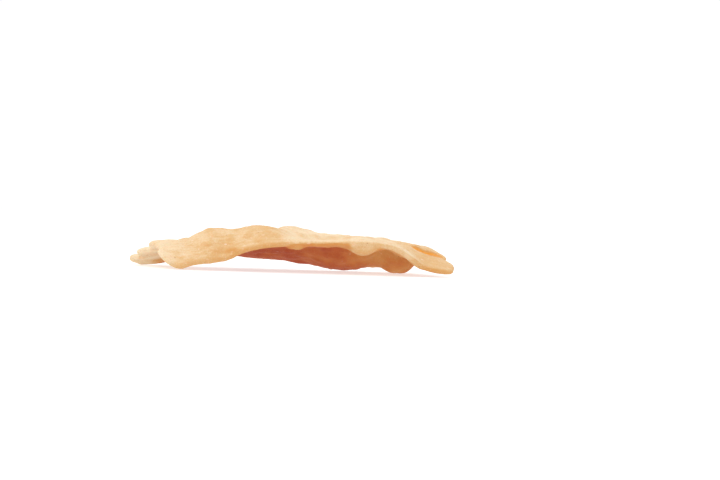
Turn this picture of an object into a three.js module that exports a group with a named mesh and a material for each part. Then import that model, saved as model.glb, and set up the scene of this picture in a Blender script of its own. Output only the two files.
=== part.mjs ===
// A flatbread cracker: one long sheet of dough, rolled thin, cut across with a fluted wheel and baked
// until it buckled and blistered. It lies on a table on its corners and on the blisters underneath.
// Millimetres. +X runs along the cracker towards its drooping end, +Y from its front rim to its back rim,
// +Z up from the table, and the origin is under the middle of the cracker.
import * as THREE from 'three';
import { mergeVertices } from 'three/addons/utils/BufferGeometryUtils.js';

// ---------------------------------------------------------------- driving dimensions

const THICKNESS = 2.4; // of the baked sheet between its blisters
const RIM_WIDTH = 1.6; // the strip along the rim where the two faces round over to meet
const RIM_SHARE = 0.5; // of the thickness that is left at the rim itself
const RIM_NOSE = 0.35; // how far the middle of the rim stands out past its two edges

const FLUTE_DEPTH = 2.3; // of the scallops that the cutting wheel left on both ends
const LEFT_NICKS = [-1, -0.66, -0.21, 0.23, 0.66, 1]; // where two scallops meet, as a share across
const RIGHT_NICKS = [-1, -0.3, 0.16, 0.58, 1];
const PLEAT_DEPTH = 0.9; // of the grooves that run from the nicks into the sheet
const PLEAT_LENGTH = 15;

const COLORS = { crust: 0xecc18c };

// Faces along, across and through the sheet.
const STEPS = { along: 50, across: 54, through: 2 };
const CROWDING = 0.4; // how much closer the faces lie at the rims than in the middle

// ---------------------------------------------------------------- the plan: where the rims and the ends run

// Each line is [x, y] along a rim, or [share across from -1 at the front to 1 at the back, x] along an end.
const FRONT_RIM_PLAN = [
  [-62, -24.5], [-48, -26.5], [-32, -24.8], [-14, -25.6], [8, -24.2], [26, -25.8], [44, -25], [64, -23.5],
];
const BACK_RIM_PLAN = [
  [-66, 23.5], [-46, 25.8], [-24, 24.4], [-2, 25.6], [20, 24.2], [38, 26], [56, 24], [66, 22.5],
];
const LEFT_END_PLAN = [
  [-1, -51], [-0.94, -54.6], [-0.83, -56.9], [-0.43, -59],
  [0.02, -61.9], [0.45, -63.5], [0.83, -62], [1, -59.5],
];
const RIGHT_END_PLAN = [
  [-1, 62.2], [-0.8, 62.6], [-0.4, 62.9], [0, 64], [0.4, 63.5], [0.8, 62], [1, 59.5],
];

// ---------------------------------------------------------------- the waves: how high the middle lies

// Five lines run the length of the cracker. Each is [x, z] where the line turns, and the sheet is a smooth
// surface through all five: a flap that droops at the front left, two humps in the middle, a front rim that
// arches clear of the table, and a back half that falls away to the right.
const WAVES = [
  {
    across: -1,
    heights: [
      [-60, 8.5], [-57, 5.6], [-51, 3.2], [-46.5, 4.5], [-29.5, 7], [-26.5, 9], [-3, 13.2],
      [5, 13.4], [17, 14.1], [34.5, 12.8], [38.5, 11.2], [43, 8], [47, 5], [62, 3.6],
    ],
  },
  {
    across: -0.5,
    heights: [
      [-61, 11.2], [-52, 11.5], [-44, 11.8], [-37, 15.6], [-25, 16.5], [-18, 18.2], [-8, 16.8],
      [0, 13.9], [9, 12.8], [27, 13.6], [41, 11.2], [50, 8.5], [62, 5.9],
    ],
  },
  {
    across: 0,
    heights: [
      [-63, 7.1], [-44, 10.6], [-24, 13], [-9, 14.4], [-2, 18], [6, 16.2], [14, 14.6], [30, 13.8],
      [43, 12.4], [50, 11.1], [57, 10], [65, 6.4],
    ],
  },
  {
    across: 0.5,
    heights: [[-65, 3.9], [-50, 5.2], [-34, 9.5], [-4, 10], [20, 6.6], [46, 5.2], [56, 6.6], [64, 4.4]],
  },
  {
    across: 1,
    heights: [
      [-64, 2.3], [-50, 2], [-35, 6], [-8, 4.4], [4, 3.9],
      [15, 2.4], [27, 1.6], [38, 2.2], [48, 2], [60, 4.2],
    ],
  },
];

// The fold near the drooping end, where the sheet closed on itself.
const FOLD = { from: [44, -5], to: [63, -7], width: 4, depth: 3 };

// ---------------------------------------------------------------- how it lies

const LEAN = { forward: 2.2, left: 0.6 }; // degrees that the sheet tips to come to rest on its lowest points
const CONTACT_DEPTH = 0.15; // how much of the lowest points is flattened

// ---------------------------------------------------------------- the blisters

// Each swells one face of the sheet: face 1 is the top and -1 the underside.
const LARGE_BLISTERS = [
  { x: 25, y: 12, radius: 16, rise: 3, face: -1 },
  { x: 47, y: 9, radius: 11, rise: 5.6, face: -1 },
  { x: 24, y: -20, radius: 8, rise: 4.2, face: -1 },
  { x: -4.5, y: -22, radius: 3.8, rise: 2.4, face: -1 },
  { x: -30, y: 4, radius: 9, rise: 2, face: 1 },
  { x: 2, y: 14, radius: 10, rise: 2.2, face: 1 },
  { x: 30, y: 15, radius: 8, rise: 1.8, face: 1 },
  { x: -48, y: 12, radius: 7, rise: 1.6, face: 1 },
];
const SMALL_BLISTERS = {
  count: 40,
  radius: [3.2, 6],
  rise: [0.35, 1.1],
  topShare: 0.6, // how many of them are on the top
  tries: 360, // how many draws are made at most to find places for them
  seed: 11,
};
const CLEARANCE = 0.8; // the share of the two radii that a small blister keeps from the next one

// ---------------------------------------------------------------- helpers

const { clamp, degToRad, lerp, smoothstep } = THREE.MathUtils;

// A smooth curve through [at, value] pairs, as a function of at. It is level beyond its ends.
function smoothLine(pairs) {
  const line = new THREE.CubicInterpolant(pairs.map(([at]) => at), pairs.map(([, value]) => value), 1);
  return (at) => line.evaluate(at)[0];
}

// The same draws every time: a small generator that starts from a seed.
function seededDraws(seed) {
  let state = seed;
  return (low = 0, high = 1) => {
    state = (state * 1664525 + 1013904223) % 4294967296;
    return lerp(low, high, state / 4294967296);
  };
}

// ---------------------------------------------------------------- the sheet

const frontRim = smoothLine(FRONT_RIM_PLAN);
const backRim = smoothLine(BACK_RIM_PLAN);
const leftEnd = smoothLine(LEFT_END_PLAN);
const rightEnd = smoothLine(RIGHT_END_PLAN);
const waves = WAVES.map(({ across, heights }) => ({ across, height: smoothLine(heights) }));

// Scallops: round lobes with a sharp nick between each two, from 0 at the tips to 1 in the nicks.
function scallop(nicks, across) {
  const next = Math.max(1, nicks.findIndex((nick) => nick >= across));
  const share = (across - nicks[next - 1]) / (nicks[next] - nicks[next - 1]);
  return 1 - Math.sin(Math.PI * share);
}

// Where the two ends run, scallops and all.
function leftEdge(across) {
  return leftEnd(across) + FLUTE_DEPTH * scallop(LEFT_NICKS, across);
}
function rightEdge(across) {
  return rightEnd(across) - FLUTE_DEPTH * scallop(RIGHT_NICKS, across);
}

// The place in plan of a point of the sheet: along and across run from -1 to 1. A scallop moves the points
// near its own end only.
function planOf(along, across) {
  const straight = lerp(leftEnd(across), rightEnd(across), (along + 1) / 2);
  const left = FLUTE_DEPTH * scallop(LEFT_NICKS, across) * clamp(-along, 0, 1) ** 6;
  const right = FLUTE_DEPTH * scallop(RIGHT_NICKS, across) * clamp(along, 0, 1) ** 6;
  const x = straight + left - right;
  return new THREE.Vector2(x, lerp(frontRim(x), backRim(x), (across + 1) / 2));
}

// A crease between two places: how deep it is at a third place.
function creaseDepth(crease, place) {
  const from = new THREE.Vector2(...crease.from);
  const run = new THREE.Vector2(...crease.to).sub(from);
  const share = clamp(place.clone().sub(from).dot(run) / run.lengthSq(), 0, 1);
  const away = place.distanceTo(from.add(run.multiplyScalar(share)));
  return crease.depth * smoothstep(share, 0, 0.5) * (1 - smoothstep(away, 0, crease.width));
}

// The grooves between the scallops fade away from each end.
function pleatDepth(x, across) {
  const left = scallop(LEFT_NICKS, across) * (1 - smoothstep(x - leftEnd(across), 0, PLEAT_LENGTH));
  const right = scallop(RIGHT_NICKS, across) * (1 - smoothstep(rightEnd(across) - x, 0, PLEAT_LENGTH));
  return PLEAT_DEPTH * (left + right);
}

function middleHeight(place, across) {
  const wave = smoothLine(waves.map((line) => [line.across, line.height(place.x)]))(across);
  return wave - creaseDepth(FOLD, place) - pleatDepth(place.x, across);
}

// Whether a blister keeps its distance from every other one on the same face.
function keepsClear(one, others) {
  const gaps = others
    .filter((other) => other.face === one.face)
    .map((other) => Math.hypot(other.x - one.x, other.y - one.y) / (other.radius + one.radius));
  return gaps.every((gap) => gap > CLEARANCE);
}

// Small blisters come where chance puts them, but a draw that would overlap an earlier one is dropped.
function smallBlisters() {
  const { count, tries, radius, rise, topShare, seed } = SMALL_BLISTERS;
  const draw = seededDraws(seed);
  const kept = [];
  for (let i = 0; i < tries && kept.length < count; i += 1) {
    const { x, y } = planOf(draw(-0.93, 0.93), draw(-0.85, 0.85));
    const one = { x, y, radius: draw(...radius), rise: draw(...rise), face: draw() < topShare ? 1 : -1 };
    if (keepsClear(one, [...LARGE_BLISTERS, ...kept])) kept.push(one);
  }
  return kept;
}
const blisters = [...LARGE_BLISTERS, ...smallBlisters()];

// How far one face is swollen at a place, by every blister that reaches it.
function swelling(place, face) {
  return blisters.reduce((sum, blister) => {
    const share = Math.hypot(place.x - blister.x, place.y - blister.y) / blister.radius;
    return blister.face === face && share < 1 ? sum + blister.rise * (1 - share * share) ** 1.5 : sum;
  }, 0);
}

// How far a point is from the nearest rim or end, in plan.
function rimDistance(place, across) {
  const toSide = Math.min(place.y - frontRim(place.x), backRim(place.x) - place.y);
  const toEnd = Math.min(place.x - leftEdge(across), rightEdge(across) - place.x);
  return Math.max(0, Math.min(toSide, toEnd));
}

// The middle surface in space, and its upward normal from two short steps along it.
function middlePoint(along, across) {
  const place = planOf(along, across);
  return new THREE.Vector3(place.x, place.y, middleHeight(place, across));
}
function middleNormal(along, across) {
  const step = 0.01;
  const alongStep = middlePoint(along + step, across).sub(middlePoint(along - step, across));
  const acrossStep = middlePoint(along, across + step).sub(middlePoint(along, across - step));
  return alongStep.cross(acrossStep).normalize();
}

// A point of the cracker: through is -1 on the underside, 0 at the middle of the rim and 1 on top.
function crackerPoint(along, across, through) {
  const point = middlePoint(along, across);
  const place = new THREE.Vector2(point.x, point.y);
  const inward = clamp(rimDistance(place, across) / RIM_WIDTH, 0, 1);
  const half = (THICKNESS / 2) * lerp(RIM_SHARE, 1, Math.sqrt(1 - (1 - inward) ** 2));
  const lift = through * (half + inward * swelling(place, Math.sign(through)));
  const nose = through === 0 ? RIM_NOSE : 0;
  point.addScaledVector(middleNormal(along, across), lift);
  if (Math.abs(across) === 1) point.y += Math.sign(across) * nose;
  if (Math.abs(along) === 1) point.x += Math.sign(along) * nose;
  return point;
}

// Even steps from -1 to 1, drawn towards both ends so that the rims get the narrow faces they need.
function crowd(share) {
  return share + (CROWDING * Math.sin(Math.PI * share)) / Math.PI;
}

// The sheet starts as a flat slab of many small faces, and each corner is moved to its place.
function crackerGeometry() {
  const slab = new THREE.BoxGeometry(2, 2, 2, STEPS.along, STEPS.across, STEPS.through);
  slab.deleteAttribute('normal');
  slab.deleteAttribute('uv');
  const geometry = mergeVertices(slab);
  const corners = geometry.attributes.position;
  for (let i = 0; i < corners.count; i += 1) {
    const point = crackerPoint(crowd(corners.getX(i)), crowd(corners.getY(i)), corners.getZ(i));
    corners.setXYZ(i, point.x, point.y, point.z);
  }
  return geometry;
}

// Leans a shape onto its lowest points, with its middle over the origin, and flattens the spots that touch.
function settle(geometry) {
  geometry.rotateX(degToRad(LEAN.forward)).rotateY(degToRad(-LEAN.left));
  geometry.computeBoundingBox();
  const { min, max } = geometry.boundingBox;
  geometry.translate(-(min.x + max.x) / 2, -(min.y + max.y) / 2, -min.z - CONTACT_DEPTH);
  const corners = geometry.attributes.position;
  for (let i = 0; i < corners.count; i += 1) corners.setZ(i, Math.max(0, corners.getZ(i)));
  return geometry;
}

const crust = new THREE.MeshStandardMaterial({ color: COLORS.crust, roughness: 0.75, metalness: 0 });
const cracker = new THREE.Mesh(settle(crackerGeometry()), crust);
cracker.name = 'cracker';

const flatbread = new THREE.Group();
flatbread.add(cracker);
export default flatbread;
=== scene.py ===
# %% [markdown]
# # A baked flatbread cracker
# The packed solid already has the true size, the waves, the scalloped ends and the large blisters of the
# cracker. What it lacks is what the oven did on a small scale: a rim that rounds over, small blisters and
# pits, rolling marks, and a crust that is pale where it faced up and toasted where it lay on the hot stone.
# Painted shade is laid into that crust as well, darker on the slopes and underneath, and painted light makes
# the bulge by the right end lighter.
# This lesson builds that piece by piece on a fine copy of the solid, and then gives it its crust.

# %% Load the packed solid
import math

import bmesh
import bpy
import numpy as np
from mathutils import Matrix, Vector, noise


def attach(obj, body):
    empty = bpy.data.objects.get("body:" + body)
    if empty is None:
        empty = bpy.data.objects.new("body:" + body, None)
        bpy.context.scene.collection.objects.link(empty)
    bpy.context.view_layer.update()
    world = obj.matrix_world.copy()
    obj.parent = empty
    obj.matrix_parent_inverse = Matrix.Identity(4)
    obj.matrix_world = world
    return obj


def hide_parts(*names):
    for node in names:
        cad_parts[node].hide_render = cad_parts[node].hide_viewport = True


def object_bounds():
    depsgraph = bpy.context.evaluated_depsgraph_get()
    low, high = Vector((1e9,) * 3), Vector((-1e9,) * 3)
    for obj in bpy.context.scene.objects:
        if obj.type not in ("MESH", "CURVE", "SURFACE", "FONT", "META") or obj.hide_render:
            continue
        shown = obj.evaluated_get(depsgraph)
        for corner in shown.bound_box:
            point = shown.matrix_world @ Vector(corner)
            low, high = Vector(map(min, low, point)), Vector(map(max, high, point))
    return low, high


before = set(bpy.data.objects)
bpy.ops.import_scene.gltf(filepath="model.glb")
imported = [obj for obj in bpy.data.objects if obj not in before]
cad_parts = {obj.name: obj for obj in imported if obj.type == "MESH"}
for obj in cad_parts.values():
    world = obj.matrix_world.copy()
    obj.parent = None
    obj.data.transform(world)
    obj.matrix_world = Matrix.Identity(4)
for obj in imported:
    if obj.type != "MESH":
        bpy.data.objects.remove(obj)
cad_box = [list(corner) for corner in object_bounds()]
MM = 0.001
print("packed solid, in mm:", [[round(v / MM, 1) for v in corner] for corner in cad_box])

# %% [markdown]
# ## Where the camera stands
# The picture is taken from just above the table and a little to the left of square on, from far enough away
# that near and far rims are almost the same size. A long lens gives that flat look. The camera also leans a
# little, because the cracker in the picture does not lie level.

# %% The camera
CAMERA_AIM = Vector((25.9, -6.9, 13.5)) * MM
CAMERA_DISTANCE = 800 * MM
CAMERA_AZIMUTH = math.radians(-15)
CAMERA_ELEVATION = math.radians(0.82)
CAMERA_LEAN = math.radians(2.24)
PICTURE_WIDTH = 36  # mm on the sensor
LENS_LENGTH = 100

level = math.cos(CAMERA_ELEVATION)
towards_camera = Vector(
    (
        math.sin(CAMERA_AZIMUTH) * level,
        -math.cos(CAMERA_AZIMUTH) * level,
        math.sin(CAMERA_ELEVATION),
    )
)
camera = bpy.data.objects.new("camera", bpy.data.cameras.new("camera"))
camera.data.sensor_width = PICTURE_WIDTH
camera.data.lens = LENS_LENGTH
facing = towards_camera.to_track_quat("Z", "Y").to_matrix() @ Matrix.Rotation(CAMERA_LEAN, 3, "Z")
camera.matrix_world = Matrix.Translation(CAMERA_AIM + towards_camera * CAMERA_DISTANCE) @ facing.to_4x4()
bpy.context.scene.collection.objects.link(camera)
bpy.context.scene.camera = camera
print("camera at", [round(v, 3) for v in camera.location])


# %% [markdown]
# ## Colours in plain numbers
# Colours are easiest to judge as the 0 to 255 values that a screen shows, but shaders add up light, so they
# need linear values. One small function turns the first into the second, by the formula that screens use.

# %% Colours
def screen_colour(red, green, blue):
    """A linear colour with full alpha from the 0 to 255 values that a screen shows."""
    shown = np.array((red, green, blue)) / 255
    linear = np.where(shown <= 0.04045, shown / 12.92, ((shown + 0.055) / 1.055) ** 2.4)
    return (*linear.tolist(), 1.0)


print("screen 236, 193, 140 is linear", [round(v, 3) for v in screen_colour(236, 193, 140)[:3]])

# %% [markdown]
# ## A fine copy of the solid
# The solid's faces are a few millimetres long, which is too coarse for baked dough. A copy is welded, its
# triangles are joined into four-sided faces, and a subdivision surface rounds it. Then a voxel remesh lays
# small even faces over it, because blisters come at any place and in any size, and long thin faces would
# stretch them. A light smoothing takes away the steps that voxels leave.

# %% The sheet of dough
WELD_DISTANCE = 0.002 * MM
PAIR_ANGLE = math.radians(60)  # how far from flat, and from square, a joined pair of triangles may be
ROUNDING_LEVELS = 2
FACE_SIZE = 0.45 * MM
SMOOTHING_STRENGTH = 0.5
SMOOTHING_ROUNDS = 6


def welded_copy(node):
    """A mesh with that node's shape, its corners welded and its triangles joined in pairs."""
    shape = bmesh.new()
    shape.from_mesh(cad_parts[node].data)
    bmesh.ops.remove_doubles(shape, verts=shape.verts, dist=WELD_DISTANCE)
    bmesh.ops.join_triangles(
        shape,
        faces=shape.faces,
        angle_face_threshold=PAIR_ANGLE,
        angle_shape_threshold=PAIR_ANGLE,
    )
    mesh = bpy.data.meshes.new(node + "_baked")
    shape.to_mesh(mesh)
    shape.free()
    return mesh


def with_modifiers(mesh, name, steps):
    """The mesh after each (kind, settings) modifier in turn."""
    worn = bpy.data.objects.new(name, mesh)
    bpy.context.scene.collection.objects.link(worn)
    for kind, settings in steps:
        modifier = worn.modifiers.new(kind, kind)
        for key, value in settings.items():
            setattr(modifier, key, value)
    seen = worn.evaluated_get(bpy.context.evaluated_depsgraph_get())
    made = bpy.data.meshes.new_from_object(seen)
    bpy.data.objects.remove(worn)
    return made


dough = with_modifiers(
    welded_copy("cracker"),
    "dough",
    [
        ("SUBSURF", {"levels": ROUNDING_LEVELS, "render_levels": ROUNDING_LEVELS}),
        ("REMESH", {"mode": "VOXEL", "voxel_size": FACE_SIZE, "use_smooth_shade": True}),
        ("SMOOTH", {"factor": SMOOTHING_STRENGTH, "iterations": SMOOTHING_ROUNDS}),
    ],
)
print("fine copy:", len(dough.polygons), "faces")


# %% [markdown]
# ## Reading the sheet
# Every later step asks the same things of each point: where it is, which way its face looks, and how far it
# is from the rim. They are read once as arrays, in millimetres, so that each step is a few lines of
# arithmetic. The rim is found in plan: in each narrow strip across or along the cracker the outermost points
# are on it, so the distance to them is the distance to the rim.

# %% Points and directions
def read_points(mesh, what="co"):
    """The mesh's points, or their normals, as an array with a row each."""
    source = mesh.vertices if what == "co" else mesh.vertex_normals
    values = np.empty(len(mesh.vertices) * 3, np.float32)
    source.foreach_get("co" if what == "co" else "vector", values)
    return values.reshape(-1, 3).astype(float)


def distance_inside(places, long_axis, side_axis):
    """How far each place is, in mm, from both ends of the strip that it lies in. The strips are 1 mm wide,
    run along the long axis and lie side by side on the other."""
    strip = np.round(places[:, side_axis]).astype(int)
    strip -= strip.min()
    near = np.full(strip.max() + 1, np.inf)
    far = -near
    np.minimum.at(near, strip, places[:, long_axis])
    np.maximum.at(far, strip, places[:, long_axis])
    return np.minimum(places[:, long_axis] - near[strip], far[strip] - places[:, long_axis])


points = read_points(dough) / MM
rim_distance = np.minimum(distance_inside(points, 0, 1), distance_inside(points, 1, 0))
normals = read_points(dough, "normal")
upward = normals[:, 2]
print("points:", len(points), "of which look down:", int((upward < 0).sum()))

# %% [markdown]
# ## Chance and soft edges
# Baked dough has no sharp borders, and nothing on it repeats. Four small functions are enough for that:
# smooth noise, a soft step up, a soft step down, and a soft hill. Each takes arrays, so it works on all
# points at once.

# %% Noise, steps and hills
SEED_STEP = 17.3  # how far apart in the noise two seeds read it


def soft_noise(places, size, seed):
    """Smooth noise from about -1 to 1 at each place. size is how far its bumps are apart, as one number or
    one along each axis."""
    scaled = places / np.array(size) + seed * SEED_STEP
    return np.array([noise.noise(Vector(place)) for place in scaled])


def fade(value, low, high):
    """0 below low, 1 above high, and a smooth step between them."""
    share = np.clip((value - low) / (high - low), 0, 1)
    return share * share * (3 - 2 * share)


def drop(value, low, high):
    """1 below low, 0 above high, and a smooth step between them."""
    return 1 - fade(value, low, high)


def hill(value, middle, width):
    """1 at the middle, falling smoothly to about a third at that distance from it and to 0 far away."""
    return np.exp(-(((value - middle) / width) ** 2))


print("a step from 0 to 4:", fade(np.arange(5), 0, 4).round(2))

# %% [markdown]
# ## Small blisters
# Steam lifts the skin of the dough in small domes. They lie as chance has it, many small and few large, and
# more of them on the underside, where the stone was hottest. Each is a dome that runs out flat, raised along
# the face's own direction. Their places are drawn in plan and then looked up on the face, so that they don't
# hang on how the mesh is numbered, and a draw that misses the cracker is dropped. The draws are seeded, so
# that the same cracker comes out each time. None rises on the rim or at the ends, where the dough was cut
# and pressed.

# %% Blisters
BLISTERS = {
    # face: how many draws, smallest and largest radius in mm, height as a share of the radius, seed
    "top": (340, 0.7, 3.8, 0.15, 12),
    "under": (370, 0.9, 4.6, 0.18, 13),
}
FEW_LARGE = 2.5  # the higher, the fewer large ones
STRETCH = (0.8, 1.6)  # length along the cracker as a share of the width
HEIGHT_SPREAD = (0.5, 1.2)
DOME_FALL = 1.4  # the higher, the flatter a dome runs out
MISSED = 1.0  # how far in mm a draw may be from the nearest point of the face
BARE_RIM = (0.3, 2.8)  # mm from the rim where blisters begin and are full
BARE_ENDS = (48, 56)  # mm from the middle where they begin to fade and are gone


def blister_relief(face, places, looks_up):
    """How far each place is raised by the blisters of one face, in mm."""
    count, smallest, largest, height_share, seed = BLISTERS[face]
    draw = np.random.default_rng(seed)
    mine = looks_up > 0 if face == "top" else looks_up <= 0
    own = places[mine]
    relief = np.zeros(len(own))
    for _ in range(count):
        spot = draw.uniform(places.min(0)[:2], places.max(0)[:2])
        radius = smallest + (largest - smallest) * draw.random() ** FEW_LARGE
        stretch = draw.uniform(*STRETCH)
        height = radius * height_share * draw.uniform(*HEIGHT_SPREAD)
        in_plan = np.hypot(*(own[:, :2] - spot).T)
        if in_plan.min() > MISSED:
            continue
        middle = np.array((*spot, own[in_plan.argmin(), 2]))
        share = np.linalg.norm((own - middle) / (stretch, 1, 1), axis=1) / radius
        relief = np.maximum(relief, height * np.clip(1 - share**2, 0, 1) ** DOME_FALL)
    raised = np.zeros(len(places))
    raised[mine] = relief
    return raised


blisters = blister_relief("top", points, upward) + blister_relief("under", points, upward)
blisters *= fade(rim_distance, *BARE_RIM) * drop(np.abs(points[:, 0]), *BARE_ENDS)
print("highest small blister:", round(blisters.max(), 2), "mm")

# %% [markdown]
# ## Rolling marks, pits and an uneven skin
# The rolling pin pulls the dough lengthwise, so the skin has faint ridges along the cracker. Under them it is
# a little uneven everywhere, and some bubbles burst and left pits. Three layers of noise give these: one
# stretched along the cracker, one even, and one of which only the lowest parts are kept.

# %% Skin
# How far apart the bumps are in mm: along, across and up for the ridges, and all ways for the rest.
BROAD_RIDGES = (16, 1.3, 6)
FINE_RIDGES = (9, 0.7, 4)
BROAD_BUMPS = 5
FINE_BUMPS = 2.2
PIT_SPACING = 1.5
FINE_RIDGE_SHARE = 0.6  # height, as a share of the broad ones
FINE_BUMP_SHARE = 0.5

RIDGE_HEIGHT = 0.07
BUMP_HEIGHT = 0.16
PIT_DEPTH = 0.16
PIT_LEVEL = (-0.75, -0.42)  # noise below the first is all pit, and above the second none

ridges = soft_noise(points, BROAD_RIDGES, 1) + FINE_RIDGE_SHARE * soft_noise(points, FINE_RIDGES, 2)
bumps = soft_noise(points, BROAD_BUMPS, 3) + FINE_BUMP_SHARE * soft_noise(points, FINE_BUMPS, 4)
pitting = drop(soft_noise(points, PIT_SPACING, 5), *PIT_LEVEL)
skin = RIDGE_HEIGHT * ridges + BUMP_HEIGHT * bumps - PIT_DEPTH * pitting
print("skin from", round(skin.min(), 2), "to", round(skin.max(), 2), "mm")

# %% [markdown]
# ## Pleats at the cut ends
# The cutting wheel pressed the dough together where two scallops meet, and a crease runs from each such nick
# into the sheet. The solid has them as soft waves. Here a narrow groove sharpens them in both faces, and at
# the curled end each far scallop is turned nearly level, so that there is a small step down to the next one.

# %% Pleats
PLEATS = {-1: (-16.9, -6.1, 4.6, 15.0), 1: (2.7, 12.4)}  # across, in mm, at the left and the right end
PLEAT_REACH = (47, 59)  # mm from the middle where a pleat begins and is full
PLEAT_DEPTH = 0.42
PLEAT_WIDTH = 0.9
STEPPED_SCALLOPS = ((-6.1, 4.6), (4.6, 15.0), (15.0, 20.0))  # from crease to crease, across
STEP_REACH = (-57, -48)  # along, in mm, where a step is full and where it ends
STEP_SLOPE = 0.13  # how far a scallop is turned, in mm a mm
STEP_BLEND = 0.5  # mm to each side of a crease in which one scallop runs into the next

pleats = np.zeros(len(points))
for end, creases in PLEATS.items():
    near_end = fade(end * points[:, 0], *PLEAT_REACH)
    for crease in creases:
        pleats += near_end * hill(points[:, 1], crease, PLEAT_WIDTH)

steps = np.zeros(len(points))
for near, far in STEPPED_SCALLOPS:
    inside = fade(points[:, 1], near - STEP_BLEND, near + STEP_BLEND)
    inside *= drop(points[:, 1], far - STEP_BLEND, far + STEP_BLEND)
    steps += STEP_SLOPE * (points[:, 1] - (near + far) / 2) * inside
steps *= drop(points[:, 0], *STEP_REACH)

relief = skin + blisters - PLEAT_DEPTH * pleats
print("relief from", round(relief.min(), 2), "to", round(relief.max(), 2), "mm")

# %% [markdown]
# ## The fold by the drooping end
# Near the end that droops, the sheet has folded on itself a little and a slit is left between the near part
# and the far part. The solid has the fold as a valley. Here the slit is cut into the foot of its far wall, in
# the shape of a lens: deepest in the middle and closing towards both ends. The far wall and the slit are also
# kept as masks, for the crust.

# %% Fold
FOLD_FROM = np.array((47, -5.6))  # along and across, in mm
FOLD_TO = np.array((62.5, -4.6))
TOP_FACE = -0.1  # a normal that points up by more than this is on the top face
SLIT_DEPTH = 0.7
SLIT_WIDTH = 0.7
WALL_FOOT = (-0.2, 0.4)  # mm beyond the fold where the far wall begins and is full
WALL_REACH = 2.2  # mm that it goes on beyond the fold, halfway along it
WALL_FADE = 1.4
GLOW_PLACE = 0.4  # mm beyond the fold where the slit shows its orange inside
GLOW_WIDTH = 0.35

fold_line = FOLD_TO - FOLD_FROM
fold_length = np.linalg.norm(fold_line)
from_fold = points[:, :2] - FOLD_FROM
along_fold = from_fold @ fold_line / fold_length**2
beyond_fold = (from_fold @ np.array((-fold_line[1], fold_line[0]))) / fold_length
lens = np.clip(4 * along_fold * (1 - along_fold), 0, 1) * (upward > TOP_FACE)
opening = np.sqrt(lens)
relief -= SLIT_DEPTH * opening * hill(beyond_fold, 0, SLIT_WIDTH)
far_wall = opening * fade(beyond_fold, *WALL_FOOT) * fade(WALL_REACH * lens - beyond_fold, 0, WALL_FADE)
slit = opening * hill(beyond_fold, GLOW_PLACE, GLOW_WIDTH)
print("fold:", round(float(fold_length), 1), "mm long")

# %% [markdown]
# ## Raising the relief, inside the true size
# The points move along their normals by the relief. The cracker is then let down onto the table again,
# because rounding the corners lifted its feet a little. It must not grow, so its points are kept inside the
# solid's own box, which only flattens what would stand out at the very rim.

# %% The baked cracker
baked = points + normals * relief[:, None]
baked[:, 2] += steps
baked[:, 2] -= baked[:, 2].min()
lowest, highest = (np.array(corner) / MM for corner in cad_box)
baked = np.clip(baked, lowest, highest)
dough.vertices.foreach_set("co", (baked * MM).astype(np.float32).ravel())
dough.update()
cracker = bpy.data.objects.new("baked_cracker", dough)
bpy.context.scene.collection.objects.link(cracker)
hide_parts("cracker")
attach(cracker, "root")
print("baked cracker, in mm:", baked.min(0).round(2), baked.max(0).round(2))

# %% [markdown]
# ## Toast and painted shade underneath
# The underside lay on the stone and is toasted red-brown, and painted shade darkens that red-brown further:
# most of all left of the middle, which is painted shade alone, and where it hangs lowest, which is toast and
# painted shade together. The bulge by the right end is painted lighter and more orange, as light falling on
# it. Pale are the rim, the curled left end and two blisters that hang at the front rim, and between these the
# lip of the arched rim is toasted to gold. How dark each point is, from toast and painted shade, is worked
# out as a number, about 0 for pale and 1 for the darkest, with patches of noise in it.

# %% Toast and painted shade underneath
LARGE_PATCH = 11  # mm from patch to patch
SMALL_PATCH = 4
SMALL_PATCH_SHARE = 0.5

LIP_START = (-10, -3)  # along, in mm, where the lip begins and is full
LIP_STOP = (14, 20)  # where it begins to fade and is gone
LIP_ACROSS = (-22, -17)  # likewise, from the rim inwards
LIP_TURN = 0.35  # how much further the toast comes round it
LIP_CREEP = 3  # mm that the toast comes nearer to its rim
LIP_SPARED = 0.42  # the share of the toast that it was spared

LOOKS_DOWN = (0.1, 0.6)  # how far a face looks down where toast begins and is full
RAGGED_TURN = 0.12  # how far patches shift that
PALE_RIM = (0.5, 2.8)  # mm from the rim where toast begins and is full
CURLED_END = (-55, -34)  # along, where the curled end is bare and where it is full
RAGGED_END = 7  # mm that patches shift that
PALE_BLISTERS = [
    # along, across, radius in mm, and the share of the toast that it got
    (23.5, -24, 7, 0.15),
    (-4.5, -22.3, 3.8, 0.5),
]
PALE_CORE = 0.65  # the share of a pale blister's radius that is wholly pale

# Painted shade: the underside is darkest around here and lighter towards the right end, as the light fell.
PAINTED_SHADE_PLACE = -12
PAINTED_SHADE_SPREAD = 28
# Where it hangs low it is darker, partly toast from the stone and partly painted shade.
HANGING_BELOW = (1.5, 5.5)  # mm above the table where it counts in full as hanging low, and not at all
HANGING_TO = (26, 42)  # likewise, along
# Painted light: the bulge by the right end is made lighter and more orange.
BULGE_FROM = (27, 33)  # along, where the spared bulge begins and is full
BULGE_ABOVE = (3, 6)  # likewise, above the table

# The shares below: the underside's toast with painted shade, painted shade left of the middle, toast and
# painted shade where it hangs low, patches, and painted light on the bulge.
UNDER_TOAST_AND_SHADE = 0.4  # how far the underside is toasted, and what each effect adds to it or takes off
PAINTED_SHADE_LEFT_SHARE = 0.3
HANGING_TOAST_AND_SHADE = 0.26
PATCHY_TOAST = 0.16
PAINTED_LIGHT_ON_BULGE_SHARE = 0.1

along, across, above = baked.T
facing_down = -read_points(dough, "normal")[:, 2]
patches = soft_noise(baked, LARGE_PATCH, 6) + SMALL_PATCH_SHARE * soft_noise(baked, SMALL_PATCH, 7)

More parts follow.
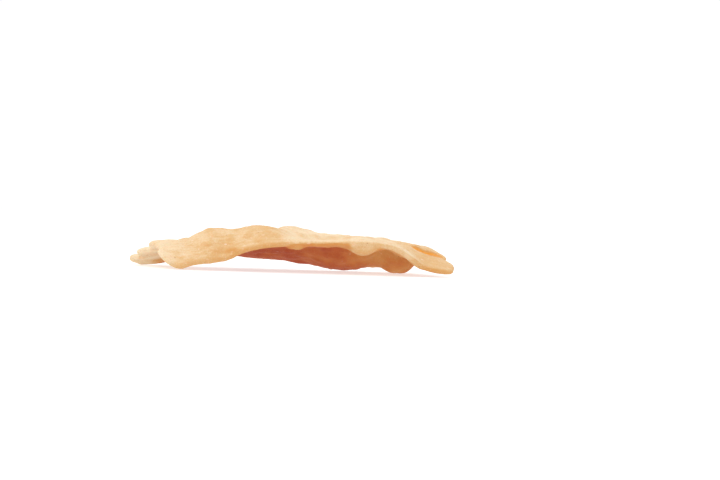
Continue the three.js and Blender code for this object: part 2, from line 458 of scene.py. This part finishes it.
lip = fade(along, *LIP_START) * drop(along, *LIP_STOP) * drop(across, *LIP_ACROSS)
underneath = fade(facing_down + RAGGED_TURN * patches + LIP_TURN * lip, *LOOKS_DOWN)
on_the_stone = fade(rim_distance + patches + LIP_CREEP * lip, *PALE_RIM)
on_the_stone *= fade(along + RAGGED_END * patches, *CURLED_END) * (1 - LIP_SPARED * lip)
for blister_along, blister_across, radius, share in PALE_BLISTERS:
    away = np.hypot(along - blister_along, across - blister_across) + patches
    on_the_stone *= share + (1 - share) * fade(away, PALE_CORE * radius, radius)

# Painted shade left of the middle, toast with painted shade where it hangs low, and painted light on the
# bulge.
painted_shade_left = hill(along, PAINTED_SHADE_PLACE, PAINTED_SHADE_SPREAD)
hanging = drop(above, *HANGING_BELOW) * drop(along, *HANGING_TO)
painted_light_on_bulge = fade(along, *BULGE_FROM) * fade(above, *BULGE_ABOVE)
toast = UNDER_TOAST_AND_SHADE + PAINTED_SHADE_LEFT_SHARE * painted_shade_left + HANGING_TOAST_AND_SHADE * hanging + PATCHY_TOAST * patches
toast = (toast - PAINTED_LIGHT_ON_BULGE_SHARE * painted_light_on_bulge) * underneath * on_the_stone
print("toast underneath up to", round(toast.max(), 2))


# %% [markdown]
# ## Gold and painted shade on top
# The top is cream in the middle and gold towards the left end and at the near corner of the right end. Where
# it slopes down towards the stone it is painted darker gold as shade, darker still where the gold parts are
# steep, and the curled left end stayed pale but for its foot.
# The numbers are kept on the mesh, where the crust's material reads them: toast with painted shade for the
# colour, raised for the tops of the blisters, and slit for the inside of the fold.

# %% Gold and painted shade on top
LEFT_GOLD = (-14, -2)  # along, in mm, where the gold is full and where it ends
RIGHT_GOLD = (40, 50)  # along, where it begins and is full
RIGHT_GOLD_ACROSS = (-6, 4)  # across, where it is full and where it ends
RIGHT_GOLD_SHARE = 1.4  # of the gold at the left
UNCURLED = (-56, -44)  # along, where the uncurled part begins and is full
# Painted shade: faces that slope down are made darker gold, and steep faces on the gold parts darker still.
SLOPING = (-0.85, -0.3)  # how far a face looks down where it begins to slope and slopes in full
STEEP = (-0.8, -0.5)  # likewise, for steep
FOOT = (1, 4.5)  # mm above the table, where the foot is full and where it ends
FULL_BLISTER = 0.35  # mm high

TOP_TOAST = 0.02  # how far the top is toasted, and what each effect adds to it
UNCURLED_TOAST = 0.025
SLOPING_SHADE = 0.1
GOLDEN_TOAST = 0.08
STEEP_GOLD_SHADE = 0.04
PATCHY_TOP_TOAST = 0.07
FAR_WALL_TOAST = 0.04
FOOT_TOAST = 0.04


def keep_number(mesh, name, values):
    """Keeps one number a point on the mesh, for the material to read."""
    mesh.attributes.new(name, "FLOAT", "POINT").data.foreach_set("value", values.astype(np.float32))


# The painted shade on the top follows how far each face looks down.
sloping = fade(facing_down, *SLOPING)
steep = fade(facing_down, *STEEP)
golden = drop(along, *LEFT_GOLD)
golden += RIGHT_GOLD_SHARE * fade(along, *RIGHT_GOLD) * drop(across, *RIGHT_GOLD_ACROSS)
uncurled = fade(along, *UNCURLED)
foot = drop(above, *FOOT) * (1 - uncurled)
toast += TOP_TOAST + PATCHY_TOP_TOAST * patches + FAR_WALL_TOAST * far_wall + FOOT_TOAST * foot
top_toast = UNCURLED_TOAST + SLOPING_SHADE * sloping + (GOLDEN_TOAST + STEEP_GOLD_SHADE * steep) * golden
toast += top_toast * uncurled
toast = np.clip(toast, 0, 1)
# Kept together as one number: real toast and painted shade.
keep_number(dough, "toast", toast)
keep_number(dough, "raised", np.clip(blisters / FULL_BLISTER, 0, 1))
keep_number(dough, "slit", slit)
print("toast from", round(toast.min(), 2), "to", round(toast.max(), 2))


# %% [markdown]
# ## Building a material from parts
# A material here is a chain of small nodes. A few helpers keep the chain readable: they add a node and set it
# up, make a band of colours or a mask from a number, do sums, and mix two colours by a mask.

# %% Material helpers
class Recipe:
    """A material in the making: its nodes and the few ways in which they are joined."""

    def __init__(self, name):
        self.material = bpy.data.materials.new(name)
        self.material.use_nodes = True
        self.nodes = self.material.node_tree.nodes
        self.links = self.material.node_tree.links
        self.shader = self.nodes["Principled BSDF"]

    def node(self, kind, settings=None, **inputs):
        """A new node. Its inputs are given by name with _ for a space, as a value or as a socket to join."""
        made = self.nodes.new("ShaderNode" + kind)
        for key, value in (settings or {}).items():
            setattr(made, key, value)
        for key, value in inputs.items():
            self.join(made.inputs[key.replace("_", " ")], value)
        return made

    def join(self, socket, value):
        """Links a socket into another, or sets a plain value on it."""
        if isinstance(value, bpy.types.NodeSocket):
            self.links.new(value, socket)
        else:
            socket.default_value = value

    def attribute(self, name):
        """A number that is kept on the mesh."""
        return self.node("Attribute", {"attribute_name": name}).outputs["Fac"]

    def band(self, factor, stops):
        """Colours, or grey levels, along a factor. Each stop is (place, colour)."""
        made = self.node("ValToRGB", Fac=factor)
        elements = made.color_ramp.elements
        for place, colour in stops[2:]:
            elements.new(place)
        for element, (place, colour) in zip(elements, stops):
            element.position = place
            element.color = colour
        return made.outputs["Color"]

    def greys(self, factor, low, high):
        """Grey levels along a factor, from one level to another, each given with the place where it is."""
        stops = [(place, (level, level, level, 1)) for place, level in (low, high)]
        return self.band(factor, stops)

    def mask(self, factor, bare, full):
        """0 where the factor is at bare and 1 where it is at full, whichever of the two is higher."""
        made = self.node(
            "MapRange", {"interpolation_type": "SMOOTHSTEP"}, Value=factor, From_Min=bare, From_Max=full
        )
        return made.outputs["Result"]

    def arithmetic(self, operation, first, second):
        made = self.node("Math", {"operation": operation})
        self.join(made.inputs[0], first)
        self.join(made.inputs[1], second)
        return made.outputs[0]

    def plus(self, first, second):
        return self.arithmetic("ADD", first, second)

    def times(self, first, second):
        return self.arithmetic("MULTIPLY", first, second)

    def mix(self, factor, first, second):
        """The first colour, turned into the second by the factor. Of a Mix node's sockets, which it has for
        every kind of data, 6 and 7 are the two colours, and 2 is the mixed one."""
        made = self.node("Mix", {"data_type": "RGBA"})
        self.join(made.inputs[0], factor)
        self.join(made.inputs[6], first)
        self.join(made.inputs[7], second)
        return made.outputs[2]


print("material helpers:", [name for name in vars(Recipe) if not name.startswith("_")])

# %% [markdown]
# ## The crust's patterns
# A close look at such a cracker shows streaks drawn out by rolling, a fine grain of tiny blisters, small
# speckles, and clouds of lighter and darker crust. Each is a noise of its own size, placed by the object's
# own coordinates in millimetres, so the sizes can be checked with a ruler.

# %% Patterns
STREAK_LENGTH = 9  # as a share of their width
STREAK_SIZE = 0.9
GRAIN_SIZE = 0.45
SPECKLE_SIZE = 0.7
CLOUD_SIZE = 6.0
PLAIN_DETAIL = 2.0  # how many finer layers a noise has
FINE_DETAIL = 3.0
FINEST_DETAIL = 4.0
LAYER_STRENGTH = 0.6  # of each finer layer, as a share of the one before

crust = Recipe("crust")
object_place = crust.node("TexCoord").outputs["Object"]


def drawn_out(stretch):
    """The object's coordinates in mm, squeezed along the cracker so that a pattern is drawn out that way."""
    made = crust.node("Mapping", Vector=object_place)
    made.inputs["Scale"].default_value = (1 / MM / stretch, 1 / MM, 1 / MM)
    return made.outputs["Vector"]


def noise_at(where, size, detail):
    """Noise from 0 to 1 whose bumps are that many mm apart."""
    made = crust.node("TexNoise", Vector=where, Scale=1 / size, Detail=detail, Roughness=LAYER_STRENGTH)
    return made.outputs["Fac"]


even = drawn_out(1)
streaks = noise_at(drawn_out(STREAK_LENGTH), STREAK_SIZE, FINE_DETAIL)
grain = noise_at(even, GRAIN_SIZE, PLAIN_DETAIL)
speckle = noise_at(even, SPECKLE_SIZE, FINE_DETAIL)
clouds = noise_at(even, CLOUD_SIZE, FINEST_DETAIL)
print("crust patterns: streaks, grain, speckle and clouds")

# %% [markdown]
# ## From toast to colour
# Dough goes from cream through gold to red-brown as it bakes, and one band of colours holds that whole way.
# The place in the band is the number of toast and painted shade, shifted a little by each pattern, so the
# dark end of the band also gives the painted shade. A noise is about a half on average, so half of what the
# three noises add is taken off again. The inside of the fold's slit is a clear orange, because light that
# falls into it meets the dough more than once.

# %% Shade
# From gold to red-brown this band gives real toast and painted shade alike.
TOAST_AND_SHADE_BAND = [
    # place in the band, and the colour there as a screen shows it
    (0.0, (236, 213, 178)),
    (0.16, (221, 180, 127)),
    (0.34, (213, 155, 88)),
    (0.55, (208, 135, 70)),
    (0.78, (196, 107, 56)),
    (1.0, (180, 83, 46)),
]
INSIDE_OF_SLIT = screen_colour(247, 170, 70)
SHADE_SHARES = (
    (clouds, 0.16),
    (streaks, 0.14),
    (crust.attribute("raised"), 0.06),
    (grain, 0.14),
)
TAKEN_OFF = 0.22

# Toast with painted shade, as kept on the mesh.
toasted = crust.attribute("toast")
shade = toasted
for pattern, share in SHADE_SHARES:
    shade = crust.plus(shade, crust.times(pattern, share))
shade = crust.plus(shade, -TAKEN_OFF)
base = crust.band(shade, [(place, screen_colour(*colour)) for place, colour in TOAST_AND_SHADE_BAND])
base = crust.mix(crust.attribute("slit"), base, INSIDE_OF_SLIT)
print("colours in the band:", len(TOAST_AND_SHADE_BAND))

# %% [markdown]
# ## Speckles
# The skin is speckled: darker where tiny blisters browned, and paler where dry flour stuck to the dough. Both
# come from one noise, the dark ones from its high parts and the pale ones from its low parts, so that they
# never overlap. Toasted crust, and crust with painted shade, has few pale ones.

# %% Speckles
DARK_SPECKLE = screen_colour(210, 142, 88)
DARK_LEVEL = (0.55, 0.7)  # noise where a speckle begins and is full
DARK_SHARE = 0.32
PALE_SPECKLE = screen_colour(246, 218, 194)
PALE_LEVEL = (0.45, 0.3)
PALE_SHARES = ((0.25, 0.32), (0.5, 0.06))  # toast, and the share that it leaves

dark_speckle = crust.times(crust.mask(speckle, *DARK_LEVEL), DARK_SHARE)
base = crust.mix(dark_speckle, base, DARK_SPECKLE)
pale_speckle = crust.times(crust.mask(speckle, *PALE_LEVEL), crust.greys(toasted, *PALE_SHARES))
base = crust.mix(pale_speckle, base, PALE_SPECKLE)
print("speckles", SPECKLE_SIZE, "mm apart")

# %% [markdown]
# ## Flour and bran
# Flecks of flour, pinkish white, lie in loose groups, and here and there is a brown speck of bran. A Voronoi
# texture gives the distance to the nearest of many scattered points, so a mask of small distances is a set
# of round spots. Noise picks the parts where the flour lies.

# %% Flour and bran
FLOUR = screen_colour(250, 226, 208)
FLOUR_SPACING = 2.6
FLOUR_STRETCH = 1.6
FLOUR_RADII = (0.2, 0.08)  # as shares of the spacing, where a fleck begins and is full
FLOUR_GROUPS = 7.0  # mm apart
FLOUR_LEVEL = (0.5, 0.62)
FLOUR_SHARES = ((0.3, 0.6), (0.6, 0.15))  # toast, and the share that it leaves
BRAN = screen_colour(160, 104, 58)
BRAN_SPACING = 5.5
BRAN_RADII = (0.07, 0.03)
BRAN_SHARE = 0.5


def spots(where, spacing, radii):
    """A mask of round spots, that many mm apart."""
    made = crust.node("TexVoronoi", {"feature": "F1"}, Vector=where, Scale=1 / spacing)
    return crust.mask(made.outputs["Distance"], *radii)


flour_group = crust.mask(noise_at(even, FLOUR_GROUPS, PLAIN_DETAIL), *FLOUR_LEVEL)
flour = crust.times(spots(drawn_out(FLOUR_STRETCH), FLOUR_SPACING, FLOUR_RADII), flour_group)
flour = crust.times(flour, crust.greys(toasted, *FLOUR_SHARES))
base = crust.mix(flour, base, FLOUR)
bran = crust.times(spots(even, BRAN_SPACING, BRAN_RADII), BRAN_SHARE)
base = crust.mix(bran, base, BRAN)
crust.join(crust.shader.inputs["Base Color"], base)
print("flour flecks", FLOUR_SPACING, "mm and bran specks", BRAN_SPACING, "mm apart")

# %% [markdown]
# ## The crust's surface
# What is too fine for the mesh is a bump: grain, streaks and speckles of a fraction of a millimetre. The
# surface is dull, with hardly any gloss, and light goes a little way into the crumb and comes out warmer,
# which subsurface scattering gives.

# %% Surface
BUMP_SHARES = ((grain, 0.5), (streaks, 0.35), (speckle, 0.6))
BUMP_STRENGTH = 0.65
BUMP_DISTANCE = 0.3 * MM
ROUGHNESS = ((0.0, 0.55), (1.0, 0.8))  # grain, and how rough it is there
GLOSS = 0.25
LIGHT_INSIDE = 0.14
LIGHT_REACH = 1.2 * MM
LIGHT_TINT = (1.0, 0.5, 0.25)  # red goes furthest

first, second, third = (crust.times(pattern, share) for pattern, share in BUMP_SHARES)
height = crust.plus(crust.plus(first, second), third)
bump = crust.node("Bump", Strength=BUMP_STRENGTH, Distance=BUMP_DISTANCE, Height=height)
crust.join(crust.shader.inputs["Normal"], bump.outputs["Normal"])
crust.join(crust.shader.inputs["Roughness"], crust.greys(grain, *ROUGHNESS))
crust.shader.inputs["Specular IOR Level"].default_value = GLOSS
crust.shader.inputs["Subsurface Weight"].default_value = LIGHT_INSIDE
crust.shader.inputs["Subsurface Radius"].default_value = LIGHT_TINT
crust.shader.inputs["Subsurface Scale"].default_value = LIGHT_REACH
dough.materials.clear()
dough.materials.append(crust.material)
for face in dough.polygons:
    face.use_smooth = True
print("crust nodes:", len(crust.nodes))

# %% [markdown]
# ## The table
# The cracker lies on a white table with a slight gloss. In the picture it is lit so well that it runs into
# the background without a line. Here it gives off most of its own brightness, which also lights the underside
# of the cracker, as a table lit from below does.

# %% Table
TABLE_SIZE = 6.0  # metres
TABLE_GREY = 0.5
TABLE_GLOW = 0.58
TABLE_ROUGHNESS = 0.45
TABLE_GLOSS = 0.2

bpy.ops.mesh.primitive_plane_add(size=TABLE_SIZE)
table = bpy.context.object
table.name = "table"
white = Recipe("white_table")
white.shader.inputs["Base Color"].default_value = (TABLE_GREY, TABLE_GREY, TABLE_GREY, 1)
white.shader.inputs["Emission Color"].default_value = (1, 1, 1, 1)
white.shader.inputs["Emission Strength"].default_value = TABLE_GLOW
white.shader.inputs["Roughness"].default_value = TABLE_ROUGHNESS
white.shader.inputs["Specular IOR Level"].default_value = TABLE_GLOSS
table.data.materials.append(white.material)
print("table:", TABLE_SIZE, "m wide")

# %% [markdown]
# ## The light
# The picture has only a faint shadow, so the light comes from all round, as in a white tent. The world is the
# tent, and one large soft lamp above makes what faces up a little brighter than what faces the camera.

# %% Light
TENT_BRIGHTNESS = 1.02
LAMP_PLACE = Vector((-0.6, -0.1, 1.1))  # metres
LAMP_SIZE = 0.6
LAMP_POWER = 3.6

tent = bpy.data.worlds.new("tent")
tent.use_nodes = True
tent.node_tree.nodes["Background"].inputs["Color"].default_value = (1, 1, 1, 1)
tent.node_tree.nodes["Background"].inputs["Strength"].default_value = TENT_BRIGHTNESS
bpy.context.scene.world = tent

lamp = bpy.data.objects.new("lamp", bpy.data.lights.new("lamp", "AREA"))
lamp.data.size = LAMP_SIZE
lamp.data.energy = LAMP_POWER
lamp.location = LAMP_PLACE
lamp.rotation_euler = LAMP_PLACE.to_track_quat("Z", "Y").to_euler()
bpy.context.scene.collection.objects.link(lamp)
bpy.context.scene.view_settings.view_transform = "Standard"
print("lamp", round(LAMP_PLACE.length, 2), "m away")

# %% [markdown]

# %% [markdown]
